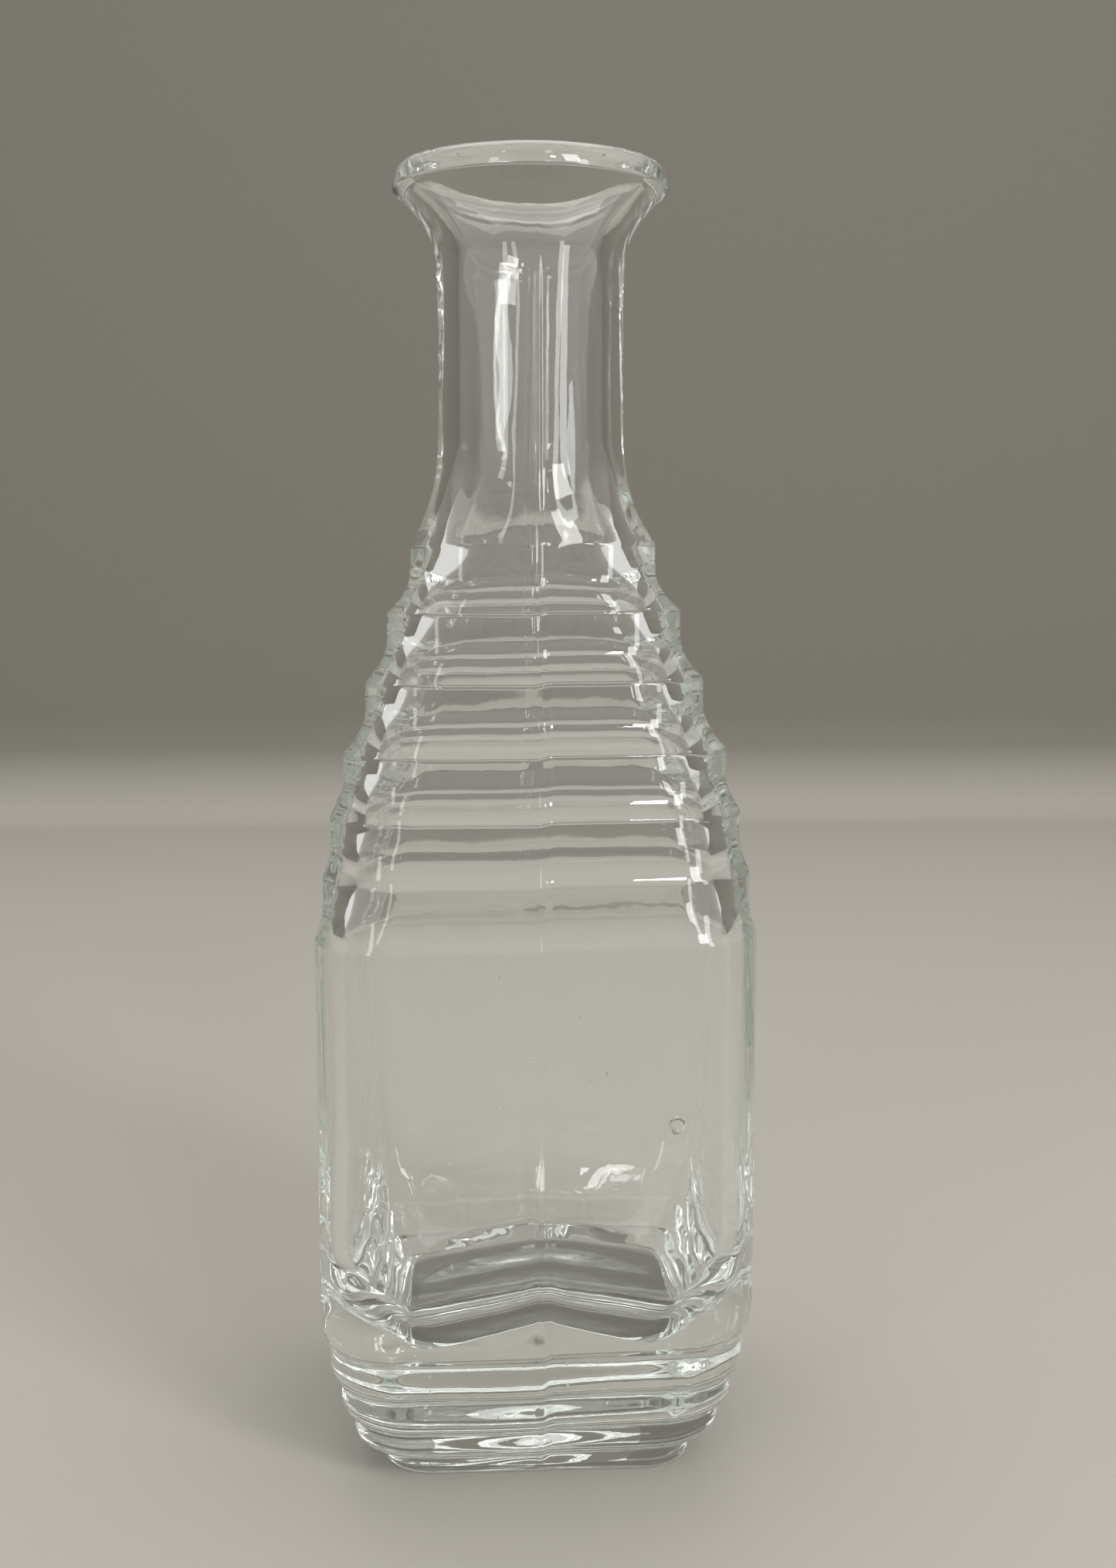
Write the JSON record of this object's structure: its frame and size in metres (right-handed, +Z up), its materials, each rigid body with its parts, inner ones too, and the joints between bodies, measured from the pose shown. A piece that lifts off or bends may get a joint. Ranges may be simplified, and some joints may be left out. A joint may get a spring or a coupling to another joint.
{
  "type": "glass bottle",
  "caption": "Clear glass carafe with a square body, a stepped heel, a ringed stepped shoulder, a round neck and a flared lip, for holding and pouring liquid.",
  "frame": {"origin": "centre of the underside, on the plane that the bottle stands on", "axes": "+Z up along the bottle's axis towards the mouth; +X and +Y square to two of the flat body faces, with -Y the pictured front"},
  "size_m": [0.076, 0.076, 0.225],
  "materials": {
    "clear_glass": "clear, glossy, slightly wavy from the mould"
  },
  "bodies": {
    "root": {"foot": "clear_glass", "heel": "clear_glass", "body": "clear_glass", "lower_shoulder": "clear_glass", "upper_shoulder": "clear_glass", "throat": "clear_glass", "neck": "clear_glass", "lip": "clear_glass"}
  },
  "joints": []
}
